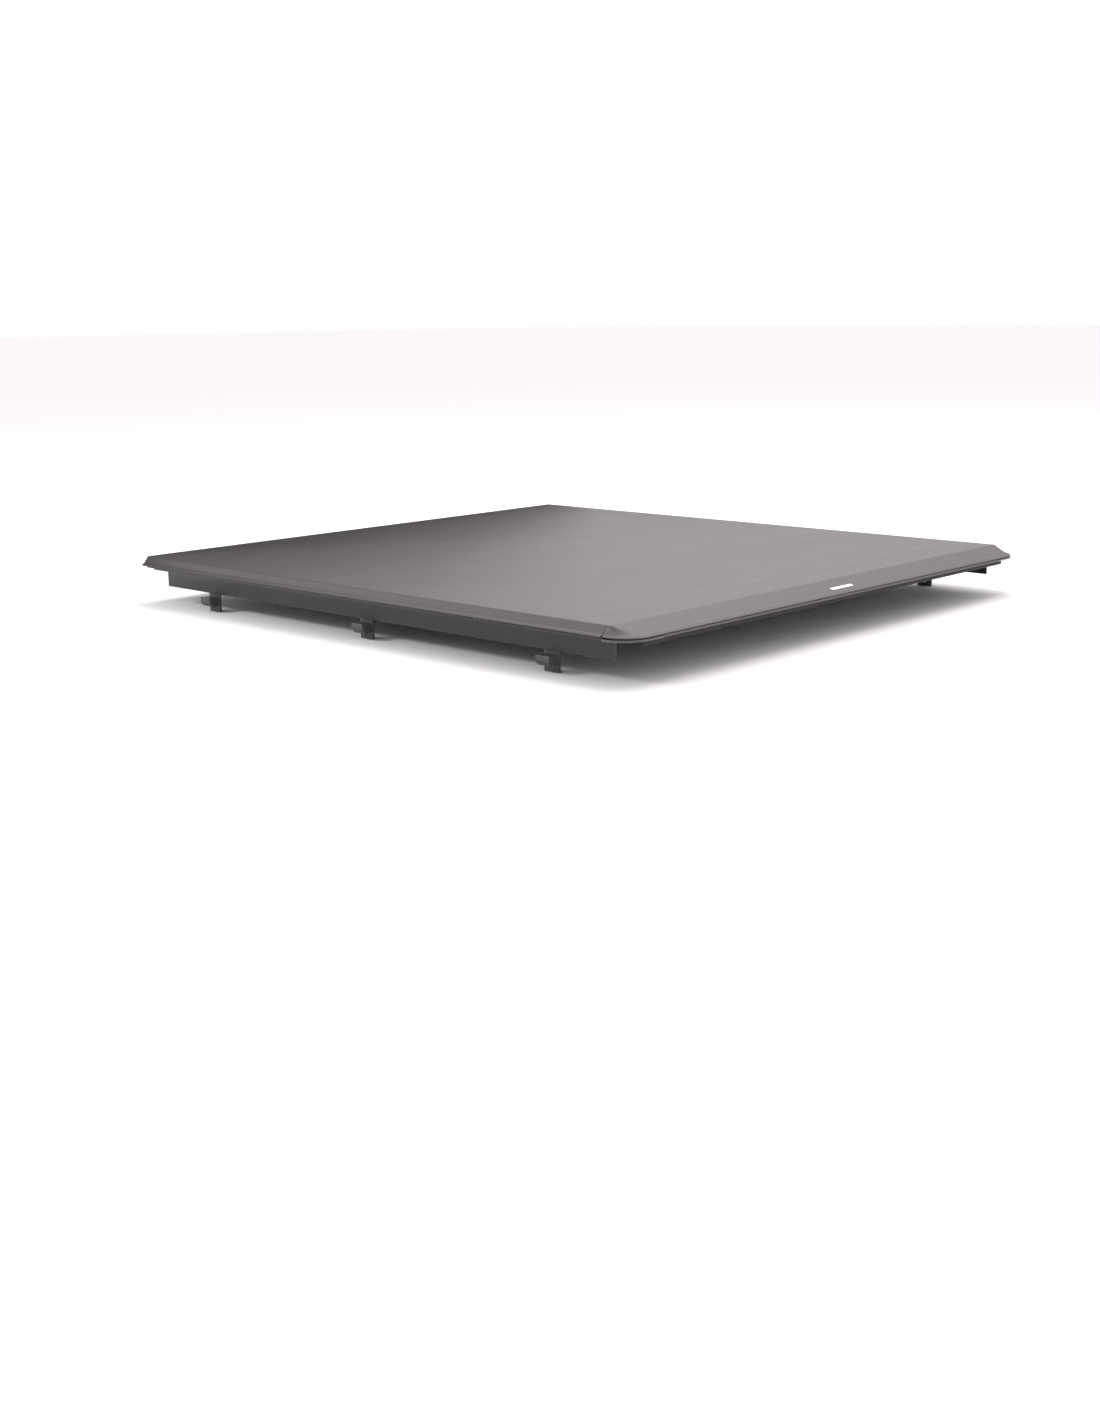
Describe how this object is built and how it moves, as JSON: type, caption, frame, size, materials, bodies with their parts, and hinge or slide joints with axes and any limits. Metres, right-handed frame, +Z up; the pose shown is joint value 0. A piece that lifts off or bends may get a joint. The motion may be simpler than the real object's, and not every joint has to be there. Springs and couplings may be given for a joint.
{
  "type": "tonneau cover",
  "caption": "Soft roll-up cover for a pickup bed: taut vinyl over aluminium rails, bows and a rear bar, held by clamps, that rolls up to the cab.",
  "frame": {"origin": "middle of the cover in plan, at the height of the clamp brackets' feet", "axes": "+X to the vehicle's right, +Y forward to the cab, +Z up"},
  "size_m": [1.51, 1.6, 0.1185],
  "materials": {
    "vinyl_sheet": "soft-sheen grained vinyl on a woven backing",
    "hem_piping": "smooth black vinyl bead",
    "black_aluminium": "satin black anodised extrusion",
    "mill_aluminium": "mill finish extrusion",
    "moulded_plastic": "semi-gloss moulded",
    "clamp_metal": "black coated casting",
    "zinc_steel": "zinc plated",
    "seal_rubber": "matte",
    "hook_tape": "woven hook tape",
    "strap_webbing": "ribbed webbing",
    "woven_tag": "plain woven, nothing printed"
  },
  "bodies": {
    "root": {"cover_front": "vinyl_sheet", "header_bar": "black_aluminium", "header_corner_left": "moulded_plastic", "header_corner_right": "moulded_plastic", "bulkhead_seal": "seal_rubber", "side_rail_left": "black_aluminium", "side_rail_right": "black_aluminium", "rail_seal_left": "seal_rubber", "rail_seal_right": "seal_rubber", "hook_strip_left": "hook_tape", "hook_strip_right": "hook_tape", "corner_cap_left": "moulded_plastic", "corner_cap_right": "moulded_plastic", "storage_strap_left": "strap_webbing", "storage_strap_right": "strap_webbing", "strap_buckle_left": "moulded_plastic", "strap_buckle_right": "moulded_plastic", "clamp_bracket_left_1": "clamp_metal", "clamp_bracket_left_2": "clamp_metal", "clamp_bracket_left_3": "clamp_metal", "clamp_bracket_right_1": "clamp_metal", "clamp_bracket_right_2": "clamp_metal", "clamp_bracket_right_3": "clamp_metal"},
    "section_01": {"cover_section_01": "vinyl_sheet"},
    "section_02": {"cover_section_02": "vinyl_sheet"},
    "section_03": {"cover_section_03": "vinyl_sheet"},
    "section_04": {"cover_section_04": "vinyl_sheet", "cross_bow_1": "mill_aluminium"},
    "section_05": {"cover_section_05": "vinyl_sheet"},
    "section_06": {"cover_section_06": "vinyl_sheet"},
    "section_07": {"cover_section_07": "vinyl_sheet"},
    "section_08": {"cover_section_08": "vinyl_sheet", "cross_bow_2": "mill_aluminium"},
    "section_09": {"cover_section_09": "vinyl_sheet"},
    "section_10": {"cover_section_10": "vinyl_sheet"},
    "section_11": {"cover_section_11": "vinyl_sheet"},
    "section_12": {"cover_section_12": "vinyl_sheet"},
    "section_13": {"cover_section_13": "vinyl_sheet", "cross_bow_3": "mill_aluminium"},
    "section_14": {"cover_section_14": "vinyl_sheet"},
    "rear_edge": {"cover_rear": "vinyl_sheet", "rear_bar": "black_aluminium", "rear_seal": "seal_rubber", "rear_piping": "hem_piping", "blank_tag": "woven_tag"},
    "plunger_left": {"latch_plunger_left": "zinc_steel"},
    "plunger_right": {"latch_plunger_right": "zinc_steel"},
    "jaw_left_1": {"clamp_jaw_left_1": "clamp_metal", "clamp_bolt_left_1": "zinc_steel"},
    "jaw_left_2": {"clamp_jaw_left_2": "clamp_metal", "clamp_bolt_left_2": "zinc_steel"},
    "jaw_left_3": {"clamp_jaw_left_3": "clamp_metal", "clamp_bolt_left_3": "zinc_steel"},
    "jaw_right_1": {"clamp_jaw_right_1": "clamp_metal", "clamp_bolt_right_1": "zinc_steel"},
    "jaw_right_2": {"clamp_jaw_right_2": "clamp_metal", "clamp_bolt_right_2": "zinc_steel"},
    "jaw_right_3": {"clamp_jaw_right_3": "clamp_metal", "clamp_bolt_right_3": "zinc_steel"}
  },
  "joints": [
    {"name": "cover_roll", "type": "hinge", "parent": "root", "child": "section_01", "pos_m": [0, 0.615, 0.1185], "axis": [-1, 0, 0], "range_deg": [0, 60]},
    {"name": "cover_roll_02", "type": "hinge", "parent": "section_01", "child": "section_02", "pos_m": [0, 0.48101, 0.1185], "axis": [-1, 0, 0], "range_deg": [0, 60]},
    {"name": "cover_roll_03", "type": "hinge", "parent": "section_02", "child": "section_03", "pos_m": [0, 0.35283, 0.1185], "axis": [-1, 0, 0], "range_deg": [0, 60]},
    {"name": "cover_roll_04", "type": "hinge", "parent": "section_03", "child": "section_04", "pos_m": [0, 0.23044, 0.1185], "axis": [-1, 0, 0], "range_deg": [0, 60]},
    {"name": "cover_roll_05", "type": "hinge", "parent": "section_04", "child": "section_05", "pos_m": [0, 0.11386, 0.1185], "axis": [-1, 0, 0], "range_deg": [0, 60]},
    {"name": "cover_roll_06", "type": "hinge", "parent": "section_05", "child": "section_06", "pos_m": [0, 0.00307, 0.1185], "axis": [-1, 0, 0], "range_deg": [0, 60]},
    {"name": "cover_roll_07", "type": "hinge", "parent": "section_06", "child": "section_07", "pos_m": [0, -0.10191, 0.1185], "axis": [-1, 0, 0], "range_deg": [0, 60]},
    {"name": "cover_roll_08", "type": "hinge", "parent": "section_07", "child": "section_08", "pos_m": [0, -0.2011, 0.1185], "axis": [-1, 0, 0], "range_deg": [0, 60]},
    {"name": "cover_roll_09", "type": "hinge", "parent": "section_08", "child": "section_09", "pos_m": [0, -0.29449, 0.1185], "axis": [-1, 0, 0], "range_deg": [0, 60]},
    {"name": "cover_roll_10", "type": "hinge", "parent": "section_09", "child": "section_10", "pos_m": [0, -0.38207, 0.1185], "axis": [-1, 0, 0], "range_deg": [0, 60]},
    {"name": "cover_roll_11", "type": "hinge", "parent": "section_10", "child": "section_11", "pos_m": [0, -0.46386, 0.1185], "axis": [-1, 0, 0], "range_deg": [0, 60]},
    {"name": "cover_roll_12", "type": "hinge", "parent": "section_11", "child": "section_12", "pos_m": [0, -0.53984, 0.1185], "axis": [-1, 0, 0], "range_deg": [0, 60]},
    {"name": "cover_roll_13", "type": "hinge", "parent": "section_12", "child": "section_13", "pos_m": [0, -0.61003, 0.1185], "axis": [-1, 0, 0], "range_deg": [0, 60]},
    {"name": "cover_roll_14", "type": "hinge", "parent": "section_13", "child": "section_14", "pos_m": [0, -0.67441, 0.1185], "axis": [-1, 0, 0], "range_deg": [0, 60]},
    {"name": "cover_roll_rear", "type": "hinge", "parent": "section_14", "child": "rear_edge", "pos_m": [0, -0.733, 0.1185], "axis": [-1, 0, 0], "range_deg": [0, 120]},
    {"name": "latch_slide_left", "type": "slide", "parent": "rear_edge", "child": "plunger_left", "axis": [-1, 0, 0], "range_m": [0, 0.012]},
    {"name": "latch_slide_right", "type": "slide", "parent": "rear_edge", "child": "plunger_right", "axis": [1, 0, 0], "range_m": [0, 0.012]},
    {"name": "clamp_slide_left_1", "type": "slide", "parent": "root", "child": "jaw_left_1", "axis": [0, 0, -1], "range_m": [0, 0.012]},
    {"name": "clamp_slide_left_2", "type": "slide", "parent": "root", "child": "jaw_left_2", "axis": [0, 0, -1], "range_m": [0, 0.012]},
    {"name": "clamp_slide_left_3", "type": "slide", "parent": "root", "child": "jaw_left_3", "axis": [0, 0, -1], "range_m": [0, 0.012]},
    {"name": "clamp_slide_right_1", "type": "slide", "parent": "root", "child": "jaw_right_1", "axis": [0, 0, -1], "range_m": [0, 0.012]},
    {"name": "clamp_slide_right_2", "type": "slide", "parent": "root", "child": "jaw_right_2", "axis": [0, 0, -1], "range_m": [0, 0.012]},
    {"name": "clamp_slide_right_3", "type": "slide", "parent": "root", "child": "jaw_right_3", "axis": [0, 0, -1], "range_m": [0, 0.012]}
  ],
  "couplings": [
    {"joint": "cover_roll_02", "follows": "cover_roll", "ratio": 1},
    {"joint": "cover_roll_03", "follows": "cover_roll", "ratio": 1},
    {"joint": "cover_roll_04", "follows": "cover_roll", "ratio": 1},
    {"joint": "cover_roll_05", "follows": "cover_roll", "ratio": 1},
    {"joint": "cover_roll_06", "follows": "cover_roll", "ratio": 1},
    {"joint": "cover_roll_07", "follows": "cover_roll", "ratio": 1},
    {"joint": "cover_roll_08", "follows": "cover_roll", "ratio": 1},
    {"joint": "cover_roll_09", "follows": "cover_roll", "ratio": 1},
    {"joint": "cover_roll_10", "follows": "cover_roll", "ratio": 1},
    {"joint": "cover_roll_11", "follows": "cover_roll", "ratio": 1},
    {"joint": "cover_roll_12", "follows": "cover_roll", "ratio": 1},
    {"joint": "cover_roll_13", "follows": "cover_roll", "ratio": 1},
    {"joint": "cover_roll_14", "follows": "cover_roll", "ratio": 1},
    {"joint": "cover_roll_rear", "follows": "cover_roll", "ratio": 2}
  ]
}
